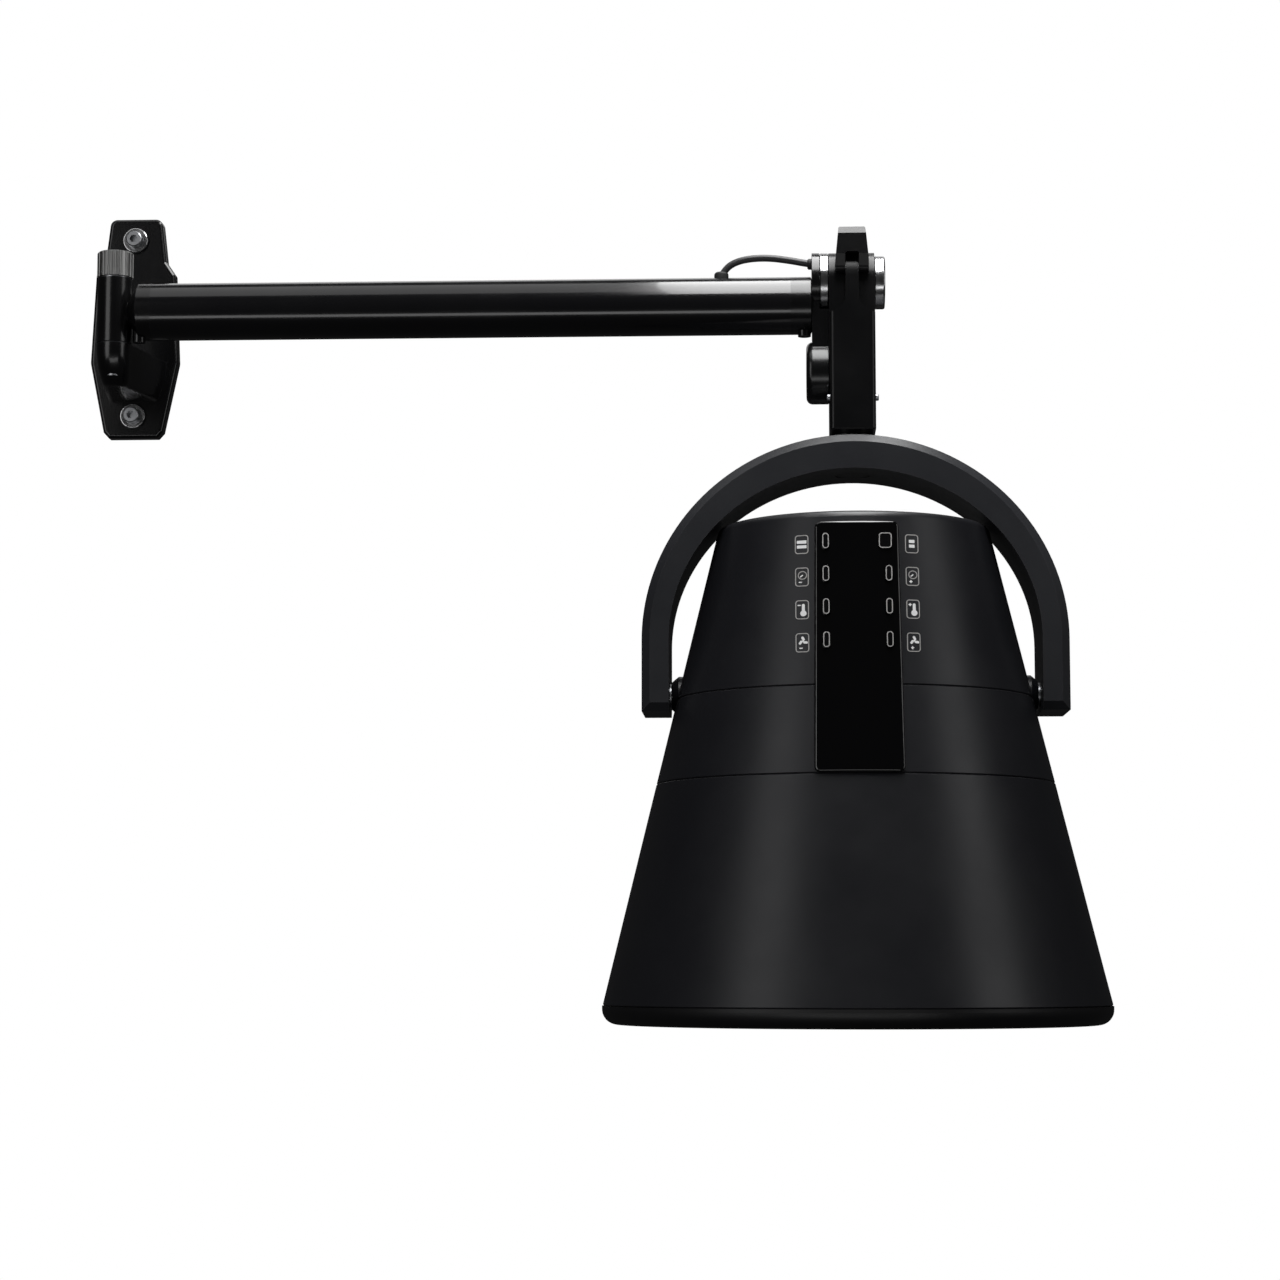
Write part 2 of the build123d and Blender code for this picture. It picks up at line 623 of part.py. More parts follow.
# ---- release lever: it straddles the rib and turns on a pin through it ---------------------
with BuildPart() as release_lever:
    with BuildSketch(across(reach, barrel_z)) as lever_side:
        Polygon((pin_y - lever_leg_r, pin_z), (-37, 16), (-36.5, lever_top - 6.5), (-30, lever_top),
                (-15, lever_top), (-12, 22), (pin_y + lever_leg_r, pin_z), align=None)
        with Locations(lever_pin_at):
            Circle(lever_leg_r)
        Circle(barrel_r + 0.6, mode=Mode.SUBTRACT)
    extrude(amount=lever_half_low, both=True)
    with BuildSketch(facing(axis_y, reach, barrel_z)) as lever_front:
        Polygon(*mirrored([(lever_half_top, lever_top), (lever_half_low, pin_z + 4),
                           (lever_half_low, -20)]), align=None)
        fillet(lever_front.vertices().group_by(Axis.Z)[-1], lever_round)
    extrude(amount=60, mode=Mode.INTERSECT)
    with BuildSketch(facing(axis_y, reach, barrel_z)):
        with Locations((0, lever_slot_top / 2 - 15)):
            RectangleRounded(2 * (rib_half + side_clear), lever_slot_top + 30, 2)
    extrude(amount=60, mode=Mode.SUBTRACT)
    disc(across(reach - rib_half - side_clear, barrel_z), rib_r + 0.6, 2 * (rib_half + side_clear),
         mode=Mode.SUBTRACT)
    disc(lever_pin_plane.offset(-lever_half_low), lever_pin_r + run_clear, 2 * lever_half_low,
         mode=Mode.SUBTRACT)
finish(release_lever, "release_lever")

with BuildPart() as lever_pin:
    disc(lever_pin_plane.offset(-lever_half_low + 1), lever_pin_r, 2 * lever_half_low - 2)
finish(lever_pin, "lever_pin")

# ============================================================================================
# Yoke: arch, swivel and trunnions
# ============================================================================================
def arch(half, rise, thick, crown_thick, foot):
    """Face of an arch on straight legs: half width, rise, two thicknesses and the foot's place."""
    with BuildSketch() as face:
        with BuildLine():
            outer = EllipticalCenterArc((0, 0), half, rise, start_angle=0, arc_size=180)
            inner = EllipticalCenterArc((0, 0), half - thick, rise - crown_thick,
                                        start_angle=0, arc_size=180)
            for side, o, i in ((1, outer @ 0, inner @ 0), (-1, outer @ 1, inner @ 1)):
                Polyline(o, (side * half, foot), (side * (half - thick), foot), i)
        make_face()
    return face.sketch


def middle_arch(width, low_end):
    """Face of a strip of one width along the middle of the yoke."""
    mid_half = yoke_half - yoke_leg / 2
    mid_rise = arch_rise - yoke_crown_thick / 2
    return arch(mid_half + width / 2, mid_rise + width / 2, width, width, low_end)


yoke_back = facing(axis_y + yoke_depth / 2, reach, yoke_centre_z)
foot = yoke_foot - yoke_centre_z
with BuildPart() as yoke:
    extrude(yoke_back * arch(yoke_half, arch_rise, yoke_leg, yoke_crown_thick, foot), amount=yoke_depth)
    for face in (yoke.faces().sort_by(Axis.Y)[0], yoke.faces().sort_by(Axis.Y)[-1]):
        rim = face.edges().filter_by(lambda e: abs((e @ 0.5).X - reach) > yoke_in + 1
                                     or (e @ 0.5).Z > yoke_crown - yoke_crown_thick + 1)
        chamfer(rim, yoke_bevel)
    extrude(yoke_back * middle_arch(groove_width, foot + 12), amount=groove_depth, mode=Mode.SUBTRACT)
    extrude(yoke_back * middle_arch(cover_width, foot + 9), amount=cover_thick, mode=Mode.SUBTRACT)
    disc(level(yoke_crown + 1, reach), swivel_r - 2, -40, mode=Mode.SUBTRACT)
    disc(level(yoke_crown - yoke_crown_thick - 1, reach), nut_cap_r + 0.2, 9, mode=Mode.SUBTRACT)
    for side in (-1, 1):
        disc(across(reach + side * yoke_half, pivot_z), trunnion_head_r + 0.1, -side * (trunnion_head_h + 1),
             mode=Mode.SUBTRACT)
        disc(across(reach + side * yoke_half, pivot_z), trunnion_r, -side * 2 * yoke_leg,
             mode=Mode.SUBTRACT)
finish(yoke, "yoke")

with BuildPart() as yoke_cover:
    clear = 0.2
    extrude(yoke_back * middle_arch(cover_width - 2 * clear, foot + 9 + clear), amount=cover_thick)
finish(yoke_cover, "yoke_cover")

with BuildPart() as swivel_spigot:
    disc(level(yoke_crown, reach), swivel_bush_r + 4, link_bottom - side_clear - yoke_crown, wire_bore_r)
    disc(level(yoke_crown, reach), swivel_r, swivel_bore_top - 3 - yoke_crown, wire_bore_r)
    disc(level(yoke_crown, reach), swivel_r - 2, -yoke_crown_thick + 2, wire_bore_r)
    disc(level(clip_z, reach), swivel_r + 1, 1.3, swivel_r - 1, mode=Mode.SUBTRACT)
finish(swivel_spigot, "swivel_spigot")

with BuildPart() as swivel_clip:
    disc(level(clip_z, reach), swivel_r + 2, 1.2, swivel_r - 1)
finish(swivel_clip, "swivel_clip")

with BuildPart() as swivel_nut:
    with BuildSketch(level(yoke_crown - yoke_crown_thick + 8, reach)):
        RegularPolygon(nut_r, 6)
        Circle(swivel_r - 2, mode=Mode.SUBTRACT)
    extrude(amount=nut_cap_h - 8)
    disc(level(yoke_crown - yoke_crown_thick, reach), nut_cap_r, nut_cap_h)
finish(swivel_nut, "swivel_nut")

with BuildPart() as trunnion_bolts:
    for side in (-1, 1):
        seat = across(reach + side * (yoke_half - 1), pivot_z)
        disc(seat, trunnion_head_r, -side * trunnion_head_h)
        disc(seat, trunnion_r, -side * (yoke_half - 1 - lug_x - chassis_thick))
        hexagon(seat, 4.6, -side * 2.6, mode=Mode.SUBTRACT)
finish(trunnion_bolts, "trunnion_bolts")

with BuildPart() as trunnion_washers:
    for side in (-1, 1):
        disc(across(reach + side * yoke_in, pivot_z), trunnion_head_r, -side * trunnion_washer_h, trunnion_r)
finish(trunnion_washers, "trunnion_washers")

# ============================================================================================
# Hood: three shells, rim, bowl and top grille
# ============================================================================================
def panel_prism(grow=0.0):
    """The control panel's outline, grown all round, pushed out through the front of the hood."""
    with BuildSketch(hood_side) as front:
        (top_x, top_h), (low_x, low_h) = panel_outline
        Polygon(*mirrored([(top_x + grow, top_h + grow), (low_x + grow, low_h - grow)]), align=None)
        fillet(front.vertices(), panel_corner + grow)
    return extrude(front.sketch, amount=hood_rim_r + 20, mode=Mode.PRIVATE)


def cone_skin(low, high, inner, outer):
    """A conical layer between two offsets from the hood's outer surface."""
    with BuildSketch(hood_side) as layer:
        Polygon((cone_r(low) + inner, low), (cone_r(low) + outer, low), (cone_r(high) + outer, high),
                (cone_r(high) + inner, high), align=None)
    return revolve(layer.sketch, axis=vertical, mode=Mode.PRIVATE)


panel_recess = panel_prism(0.2) & cone_skin(panel_low_h - 20, panel_top_h + 20, -panel_seat, 40)
with BuildSketch(hood_side.offset(60)) as window_sketch:
    with Locations((0, panel_mid_h)):
        RectangleRounded(2 * window_half, window_top_h - window_low_h, 4)
window = extrude(window_sketch.sketch, amount=hood_rim_r)


def fit_panel_and_trunnions():
    """Cuts shared by the shells: the panel's recess and the holes round the trunnion bosses."""
    add(panel_recess, mode=Mode.SUBTRACT)
    for side in (-1, 1):
        disc(across(reach + side * lug_x, pivot_z), trunnion_boss_r + side_clear, side * 40,
             mode=Mode.SUBTRACT)


def shell_ring(low, high):
    """A conical shell with bevelled edges, and a lip that stands up inside the shell above it."""
    lip_r = cone_r(high) - shell_wall - run_clear - hood_slope * lip_height
    turned(hood_side, [
        (cone_r(low) - seam_bevel, low), (cone_r(low + seam_bevel), low + seam_bevel),
        (cone_r(high - seam_bevel), high - seam_bevel), (cone_r(high) - seam_bevel, high - seam_gap / 2),
        (cone_r(high) - shell_wall - run_clear - 0.05, high - seam_gap / 2), (lip_r, high + lip_height),
        (lip_r - lip_thick, high + lip_height), (cone_r(high) - shell_wall - lip_thick, high - 4),
        (cone_r(high - 7) - shell_wall, high - 7), (cone_r(low) - shell_wall, low),
    ], vertical)


with BuildPart() as lower_skirt:
    shell_ring(0, seam_low_h)
finish(lower_skirt, "lower_skirt")

with BuildPart() as middle_band:
    shell_ring(seam_low_h + seam_gap / 2, seam_high_h)
    fit_panel_and_trunnions()
finish(middle_band, "middle_band")

with BuildPart() as upper_shell:
    base_h = seam_high_h + seam_gap / 2
    ceiling_h = hood_height - grille_thick - shell_wall
    with BuildSketch(hood_side) as shell_profile:
        Polygon((cone_r(base_h) - seam_bevel, base_h), (cone_r(base_h + seam_bevel), base_h + seam_bevel),
                (cone_r(hood_height), hood_height), (grille_r + 0.2, hood_height),
                (grille_r + 0.2, hood_height - grille_thick), (grille_r - 5, hood_height - grille_thick),
                (grille_r - 5, ceiling_h), (cone_r(ceiling_h) - shell_wall, ceiling_h),
                (cone_r(base_h) - shell_wall, base_h), align=None)
        top_corner = shell_profile.vertices().filter_by(lambda v: abs(v.X - cone_r(hood_height)) < 0.01)
        fillet(top_corner, hood_top_round)
    revolve(axis=vertical)
    fit_panel_and_trunnions()
    add(window, mode=Mode.SUBTRACT)
finish(upper_shell, "upper_shell")

with BuildPart() as rim_ring:
    with BuildSketch(hood_side) as rim_profile:
        Polygon((hood_rim_r + 0.5, -0.4), (hood_rim_r + 0.5, -rim_height), (rim_inner_r, -rim_height),
                (rim_inner_r, -0.4), align=None)
        fillet(rim_profile.vertices().group_by(Axis.Y)[0].sort_by(Axis.X)[-1], rim_round)
        fillet(rim_profile.vertices().group_by(Axis.Y)[0].sort_by(Axis.X)[0], 4)
        with Locations((cone_r(0) - shell_wall - 3.5, 2)):
            Rectangle(3, 6)
    revolve(axis=vertical)
finish(rim_ring, "rim_ring")

inward = (Align.CENTER, Align.CENTER, Align.MAX)
outward = (Align.CENTER, Align.CENTER, Align.MIN)
with BuildPart() as inner_bowl:
    with BuildSketch(hood_side) as bowl_profile:
        for wall, mode in ((bowl_wall, Mode.ADD), (0, Mode.SUBTRACT)):
            with BuildSketch(mode=Mode.PRIVATE) as half:
                Polygon((0, 0), (bowl_r + wall, 0), (bowl_top_r + wall, bowl_h + wall), (0, bowl_h + wall),
                        align=None)
                fillet(half.vertices().group_by(Axis.Y)[-1].sort_by(Axis.X)[-1], bowl_round + wall)
            add(half.sketch, mode=mode)
        with Locations((bowl_r, 0)):
            Rectangle(14, 2, align=(Align.MIN, Align.MIN))
    revolve(axis=vertical)
    for h, count in bowl_wall_rows:
        with Locations(Plane(origin=in_hood(0, 0, h))):
            with PolarLocations(bowl_r - 10, count, start_angle=h * 7.5 / 22):
                Cylinder(bowl_hole_r, 60, rotation=(0, 90, 0), mode=Mode.SUBTRACT)
    for radius, count in bowl_top_rows:
        with Locations(Plane(origin=in_hood(0, 0, bowl_h))):
            with PolarLocations(radius, count):
                Cylinder(bowl_hole_r, 60, mode=Mode.SUBTRACT)
    with Locations(Plane(origin=in_hood(0, 0, bowl_screw_h))):
        with PolarLocations(bowl_seat_r, 4, start_angle=45):
            Cylinder(bowl_screw_r + 0.1, 12, rotation=(0, 90, 0), align=inward, mode=Mode.SUBTRACT)
            Cylinder(bowl_screw_r / 2, 12, rotation=(0, 90, 0), mode=Mode.SUBTRACT)
finish(inner_bowl, "inner_bowl")

with BuildPart() as top_grille:
    disc(level(rim_z + hood_height - grille_thick, reach), grille_r, grille_thick)
    with Locations(Plane(origin=in_hood(0, 0, hood_height))):
        with PolarLocations(grille_slot_mid, grille_slots):
            Box(*grille_slot, 20, mode=Mode.SUBTRACT)
    disc(level(rim_z + hood_height, reach), grille_hub_r, 1.2)
    chamfer(top_grille.edges().sort_by(Axis.Z)[-1], 0.8)
    with Locations(Plane(origin=in_hood(0, 0, hood_height))):
        with PolarLocations(grille_r - grille_screw_inset, 3, start_angle=90):
            Cylinder(1.7, 20, mode=Mode.SUBTRACT)
finish(top_grille, "top_grille")

# ---- chassis, trunnion bosses and air unit -------------------------------------------------
with BuildPart() as chassis_ring:
    disc(level(rim_z + chassis_h, reach), chassis_r, chassis_thick, chassis_open_r)
    for side in (-1, 1):
        with Locations((reach + side * (lug_x + chassis_thick / 2), axis_y, rim_z + chassis_h)):
            Box(chassis_thick, lug_width, lug_height, align=outward)
        disc(across(reach + side * lug_x, pivot_z), lug_hole_r, side * chassis_thick, mode=Mode.SUBTRACT)
    with Locations(Plane(origin=in_hood(0, 0, chassis_h))):
        with PolarLocations(chassis_vent_mid, chassis_vents, start_angle=22.5):
            Box(*chassis_vent, 20, mode=Mode.SUBTRACT)
finish(chassis_ring, "chassis_ring")

with BuildPart() as trunnion_bosses:
    for side in (-1, 1):
        skin_x = cone_r(pivot_h) - 0.5
        turned(Plane(origin=(reach, axis_y, pivot_z), x_dir=(side, 0, 0), z_dir=(0, side, 0)), [
            (lug_x + chassis_thick, trunnion_r + run_clear), (lug_x + chassis_thick, trunnion_boss_r - 1),
            (skin_x - 2, trunnion_boss_r), (skin_x, trunnion_boss_r),
            (boss_end - 1, trunnion_boss_end_r + 1), (boss_end, trunnion_boss_end_r),
            (boss_end, trunnion_r + run_clear),
        ], Axis((reach, axis_y, pivot_z), (1, 0, 0)))
        disc(across(reach + side * lug_x, pivot_z), lug_hole_r, side * chassis_thick,
             trunnion_r + run_clear)
finish(trunnion_bosses, "trunnion_bosses")

with BuildPart() as fan_duct:
    disc(level(duct_z, reach), duct_r, duct_len, duct_r - duct_wall)
    disc(level(duct_z, reach), duct_r + duct_foot, 2.5, duct_r - duct_wall)
    disc(level(duct_z + duct_len - 2.5, reach), duct_r + 5, 2.5, duct_r - duct_wall)
finish(fan_duct, "fan_duct")

with BuildPart() as hood_screws:
    with Locations(Plane(origin=(reach, axis_y, duct_z + 2.5))):
        with PolarLocations(duct_r + duct_foot / 2, 4):
            Cylinder(3.2, 2.2, align=outward)
    with Locations(Plane(origin=in_hood(0, 0, bowl_screw_h))):
        with PolarLocations(bowl_seat_r, 4, start_angle=45):
            Cylinder(bowl_screw_r, 1.8, rotation=(0, 90, 0), align=inward)
            Cylinder(bowl_screw_r / 2 - 0.1, 9, rotation=(0, 90, 0), align=outward)
finish(hood_screws, "hood_screws")

def coil_windings(thickness_r, mode=Mode.ADD):
    """Rings in place of the wound heating wires."""
    for ring_r in coil_rings:
        with Locations(*[(reach, axis_y, heater_z + rise) for rise in coil_levels]):
            Torus(ring_r, thickness_r, mode=mode)


with BuildPart() as heater_frame:
    for turn in (0, 90):
        with Locations(Location((reach, axis_y, heater_z), (0, 0, turn + 45))):
            Box(2 * (duct_r - duct_wall) - 1, 1.2, 26)
    coil_windings(coil_r + 0.3, mode=Mode.SUBTRACT)
finish(heater_frame, "heater_frame")

with BuildPart() as heater_coils:
    coil_windings(coil_r)
finish(heater_coils, "heater_coils")

with BuildPart() as fan_rotor:
    disc(level(fan_z, reach), fan_hub_r, fan_len)
    with Locations(Plane(origin=(reach, axis_y, fan_z + fan_len / 2))):
        with PolarLocations((fan_hub_r + fan_r) / 2 - 1, fan_blades):
            chord, thick, pitch = fan_blade
            Box(fan_r - fan_hub_r + 2, chord, thick, rotation=(pitch, 0, 0))
    with BuildSketch(level(fan_z, reach)):
        Circle(fan_r)
    extrude(amount=fan_len, mode=Mode.INTERSECT)
    disc(level(fan_z, reach), shaft_r, fan_len, mode=Mode.SUBTRACT)
finish(fan_rotor, "fan_rotor")

with BuildPart() as motor_shaft:
    disc(level(fan_z, reach), shaft_r, fan_len + 4 + 20)
finish(motor_shaft, "motor_shaft")

with BuildPart() as motor:
    disc(level(motor_z, reach), motor_r, motor_len)
    chamfer(motor.edges().group_by(Axis.Z)[-1], 2)
    disc(level(motor_z, reach), shaft_r + run_clear, 24, mode=Mode.SUBTRACT)
finish(motor, "motor")

with BuildPart() as motor_mount:
    disc(level(mount_z, reach), motor_r + 4, 3, motor_r)
    disc(level(mount_z, reach), duct_r + 4, 3, duct_r - 4)
    with Locations(Plane(origin=(reach, axis_y, mount_z + 1.5))):
        with PolarLocations((motor_r + duct_r) / 2, 3, start_angle=90):
            Box(duct_r - motor_r - 3, 9, 3)
finish(motor_mount, "motor_mount")

# ---- control panel, keys and board ---------------------------------------------------------
panel_face = Plane(origin=in_hood(0, cone_r(panel_mid_h) + panel_proud, panel_mid_h),
                   x_dir=(1, 0, 0), z_dir=(0, -cos(tilt), sin(tilt)))
keys = []
for row in range(key_rows):
    rise = (key_first_h - row * key_pitch - panel_mid_h) / cos(tilt)
    keys.append((-key_x, rise, key_width))
    keys.append((wide_key_x, rise, wide_key_width) if row == 0 else (key_x, rise, key_width))
key_names = ["key_pause", "key_stop", "key_time_less", "key_time_more",
             "key_heat_less", "key_heat_more", "key_air_less", "key_air_more"]


def panel_sag(x, rise):
    """How far the curved panel falls behind its face line at a key."""
    radius = (cone_r(panel_mid_h + rise * cos(tilt)) + panel_proud) / cos(tilt)
    return radius - sqrt(radius**2 - x**2)


def key_outline(x, rise, width, grow):
    """A key's outline, grown all round, on the panel's face plane."""
    with BuildSketch(panel_face) as outline:
        with Locations((x, rise)):
            RectangleRounded(width + 2 * grow, key_height + 2 * grow, min(width, key_width) / 2 - 0.1 + grow)
    return outline.sketch


with BuildPart() as control_panel:
    add(panel_prism() & cone_skin(panel_low_h - 20, panel_top_h + 20, -panel_seat, panel_proud))
    front = control_panel.faces().sort_by(Axis.Y)[0]
    fillet(front.edges(), panel_round)
    for x, rise, width in keys:
        extrude(key_outline(x, rise, width, key_clear), amount=-40, mode=Mode.SUBTRACT)
    post_length = board_depth - panel_proud
    for x in (post_inset - window_half, window_half - post_inset):
        for rise in (post_low, (keys[2][1] + keys[4][1]) / 2):
            with Locations(panel_face * Location((x, rise, -board_depth))):
                Cylinder(post_r, post_length, align=outward)
finish(control_panel, "control_panel")

for name, (x, rise, width) in zip(key_names, keys):
    sag = panel_sag(x, rise)
    with BuildPart() as key:
        extrude(key_outline(x, rise, width, 0), amount=key_proud - sag)
        extrude(key_outline(x, rise, width, 0), amount=-key_stem)
    finish(key, name)

board_plane = panel_face.offset(-board_depth)
with BuildPart() as circuit_board:
    with BuildSketch(board_plane):
        Rectangle(2 * window_half - 2, window_top_h - window_low_h - 4)
    extrude(amount=-board_thick)
finish(circuit_board, "circuit_board")

with BuildPart() as key_switches:
    for x, rise, width in keys:
        with BuildSketch(board_plane):
            with Locations((x, rise)):
                Rectangle(5.6, 6.4)
        extrude(amount=3)
        with BuildSketch(board_plane):
            with Locations((x, rise)):
                Circle(1.6)
        extrude(amount=board_depth - key_stem - key_travel - 0.3)
finish(key_switches, "key_switches")
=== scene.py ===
import json
import math

import bmesh
import bpy
from mathutils import Matrix, Vector


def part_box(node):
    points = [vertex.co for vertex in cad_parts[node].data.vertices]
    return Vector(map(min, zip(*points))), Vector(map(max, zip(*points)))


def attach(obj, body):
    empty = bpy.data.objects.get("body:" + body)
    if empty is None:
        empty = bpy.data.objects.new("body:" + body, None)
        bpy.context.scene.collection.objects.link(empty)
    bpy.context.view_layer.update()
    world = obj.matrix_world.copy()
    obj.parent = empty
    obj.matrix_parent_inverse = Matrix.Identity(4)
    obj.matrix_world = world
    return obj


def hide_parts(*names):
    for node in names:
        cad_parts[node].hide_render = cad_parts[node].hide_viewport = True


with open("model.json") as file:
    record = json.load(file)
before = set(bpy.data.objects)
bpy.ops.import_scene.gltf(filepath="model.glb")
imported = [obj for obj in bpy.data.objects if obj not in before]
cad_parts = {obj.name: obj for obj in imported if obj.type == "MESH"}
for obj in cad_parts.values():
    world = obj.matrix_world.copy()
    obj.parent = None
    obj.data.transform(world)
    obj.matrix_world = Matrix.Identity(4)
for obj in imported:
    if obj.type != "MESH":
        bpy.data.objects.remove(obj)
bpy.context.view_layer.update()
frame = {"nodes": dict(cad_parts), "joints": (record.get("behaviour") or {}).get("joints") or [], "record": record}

# Wall-mounted hood hair dryer: finishes, printed marks, jumper lead, light and camera.
# All sizes are in metres, in the row's frame: +X along the arm, +Y into the wall, +Z up.

NODES = frame["nodes"]
JOINTS = {joint["name"]: joint for joint in frame["joints"]}
MM = 0.001


# ---- places read from the frame ------------------------------------------------------------
HOOD_AXIS = Vector(JOINTS["hood_swivel"]["pos_m"])
HOOD_MIDDLE = (HOOD_AXIS.x, HOOD_AXIS.y, -0.35)
PRESS = Vector(JOINTS["key_stop_press"]["axis"]).normalized()   # the way the keys go in
SLOPE = -PRESS.z / PRESS.y                                      # how fast the cone narrows with height
SEAM_BEVEL = 0.8 * MM
SHELL_LOW, SHELL_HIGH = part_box("upper_shell")
SHELL_RADIUS = SHELL_HIGH.y - HOOD_AXIS.y


def shell_radius(z):
    """Outer radius of the upper shell at height z."""
    return SHELL_RADIUS - SLOPE * (z - SHELL_LOW.z - SEAM_BEVEL)


# ============================================================================================
# Shared effects
# ============================================================================================
def new_effect(name, inputs, outputs):
    """A node group with named sockets; returns its tree and its two end nodes."""
    tree = bpy.data.node_groups.new(name, "ShaderNodeTree")
    for socket_name, socket_type, value in inputs:
        socket = tree.interface.new_socket(socket_name, in_out="INPUT", socket_type=socket_type)
        socket.default_value = value
    for socket_name, socket_type in outputs:
        tree.interface.new_socket(socket_name, in_out="OUTPUT", socket_type=socket_type)
    return tree, tree.nodes.new("NodeGroupInput"), tree.nodes.new("NodeGroupOutput")


def add_node(tree, kind, links=(), **settings):
    """Adds a node, sets its properties and named inputs, and links other nodes' sockets to it."""
    node = tree.nodes.new(kind)
    for key, value in settings.items():
        if hasattr(node, key) and key not in node.inputs:
            setattr(node, key, value)
        else:
            node.inputs[key].default_value = value
    for socket, source in links:
        tree.links.new(source, node.inputs[socket])
    return node


def noise(tree, vector, scale, detail=3.0, roughness=0.5):
    """Noise texture on a vector; scale is a number or a socket."""
    node = add_node(tree, "ShaderNodeTexNoise", Detail=detail, Roughness=roughness)
    tree.links.new(vector, node.inputs["Vector"])
    if isinstance(scale, (int, float)):
        node.inputs["Scale"].default_value = scale
    else:
        tree.links.new(scale, node.inputs["Scale"])
    return node.outputs["Fac"]


def spread(tree, value, low, high, to_low=0.0, to_high=1.0):
    """Map a value from low..high to another range; the new limits may be sockets."""
    node = add_node(tree, "ShaderNodeMapRange", links=[("Value", value)])
    for key, limit in (("From Min", low), ("From Max", high), ("To Min", to_low), ("To Max", to_high)):
        if isinstance(limit, (int, float)):
            node.inputs[key].default_value = limit
        else:
            tree.links.new(limit, node.inputs[key])
    return node.outputs["Result"]


def math_node(tree, operation, a, b):
    """One arithmetic step between sockets or numbers."""
    node = add_node(tree, "ShaderNodeMath", operation=operation)
    for slot, value in enumerate((a, b)):
        if isinstance(value, (int, float)):
            node.inputs[slot].default_value = value
        else:
            tree.links.new(value, node.inputs[slot])
    return node.outputs[0]


def make_grain():
    """Height of a fine moulded grain: small cells broken up by noise."""
    tree, start, end = new_effect("moulded_grain", [("Scale", "NodeSocketFloat", 900.0)],
                                  [("Height", "NodeSocketFloat")])
    place = add_node(tree, "ShaderNodeTexCoord").outputs["Object"]
    size = start.outputs["Scale"]
    cells = add_node(tree, "ShaderNodeTexVoronoi", links=[("Vector", place), ("Scale", size)])
    fine = noise(tree, place, size, detail=2.0)
    height = math_node(tree, "MULTIPLY", cells.outputs["Distance"], fine)
    tree.links.new(height, end.inputs["Height"])
    return tree


def make_peel():
    """Height of the soft waves in sprayed paint."""
    tree, start, end = new_effect("paint_peel", [("Scale", "NodeSocketFloat", 300.0)],
                                  [("Height", "NodeSocketFloat")])
    place = add_node(tree, "ShaderNodeTexCoord").outputs["Object"]
    tree.links.new(noise(tree, place, start.outputs["Scale"], detail=1.0), end.inputs["Height"])
    return tree


def make_handling():
    """Roughness that drifts over the surface where hands and cloths have polished it."""
    tree, start, end = new_effect(
        "handling", [("Scale", "NodeSocketFloat", 14.0), ("Smooth", "NodeSocketFloat", 0.3),
                     ("Rough", "NodeSocketFloat", 0.5)], [("Roughness", "NodeSocketFloat")])
    place = add_node(tree, "ShaderNodeTexCoord").outputs["Object"]
    broad = noise(tree, place, start.outputs["Scale"], detail=5.0, roughness=0.6)
    result = spread(tree, broad, 0.3, 0.7, start.outputs["Smooth"], start.outputs["Rough"])
    tree.links.new(result, end.inputs["Roughness"])
    return tree


def make_dust():
    """Colour with a little pale dust on what faces up."""
    tree, start, end = new_effect(
        "settled_dust", [("Color", "NodeSocketColor", (0, 0, 0, 1)),
                         ("Dust", "NodeSocketColor", (0.3, 0.29, 0.27, 1)),
                         ("Amount", "NodeSocketFloat", 0.08)], [("Color", "NodeSocketColor")])
    place = add_node(tree, "ShaderNodeTexCoord").outputs["Object"]
    facing = add_node(tree, "ShaderNodeNewGeometry").outputs["Normal"]
    up = add_node(tree, "ShaderNodeSeparateXYZ", links=[("Vector", facing)]).outputs["Z"]
    lying = spread(tree, up, 0.25, 0.95)
    patches = spread(tree, noise(tree, place, 38.0, detail=6.0, roughness=0.7), 0.35, 0.75)
    mask = math_node(tree, "MULTIPLY", math_node(tree, "MULTIPLY", lying, patches), start.outputs["Amount"])
    mix = add_node(tree, "ShaderNodeMix", data_type="RGBA")
    tree.links.new(mask, mix.inputs["Factor"])
    tree.links.new(start.outputs["Color"], mix.inputs[6])
    tree.links.new(start.outputs["Dust"], mix.inputs[7])
    tree.links.new(mix.outputs[2], end.inputs["Color"])
    return tree


def make_edge_wear():
    """Mask of the rubbed strip along an object's edges, broken up by noise."""
    tree, start, end = new_effect("edge_wear", [("Width", "NodeSocketFloat", 0.8 * MM)],
                                  [("Mask", "NodeSocketFloat")])
    place = add_node(tree, "ShaderNodeTexCoord").outputs["Object"]
    rounded = add_node(tree, "ShaderNodeBevel", samples=4)
    tree.links.new(start.outputs["Width"], rounded.inputs["Radius"])
    flat = add_node(tree, "ShaderNodeNewGeometry").outputs["Normal"]
    dot = add_node(tree, "ShaderNodeVectorMath", operation="DOT_PRODUCT")
    tree.links.new(rounded.outputs["Normal"], dot.inputs[0])
    tree.links.new(flat, dot.inputs[1])
    edge = spread(tree, dot.outputs["Value"], 0.995, 0.85)
    patches = spread(tree, noise(tree, place, 160.0, detail=5.0, roughness=0.65), 0.35, 0.65, 0.25, 1.0)
    tree.links.new(math_node(tree, "MULTIPLY", edge, patches), end.inputs["Mask"])
    return tree


GRAIN = make_grain()
PEEL = make_peel()
HANDLING = make_handling()
DUST = make_dust()
EDGE_WEAR = make_edge_wear()


# ============================================================================================
# Finishes
# ============================================================================================
def new_finish(name, **values):
    """A material with one Principled shader, whose plain values are set on its own sockets."""
    material = bpy.data.materials.new(name)
    material.use_nodes = True
    shader = material.node_tree.nodes["Principled BSDF"]
    for key, value in values.items():
        shader.inputs[key.replace("_", " ")].default_value = value
    return material, material.node_tree, shader


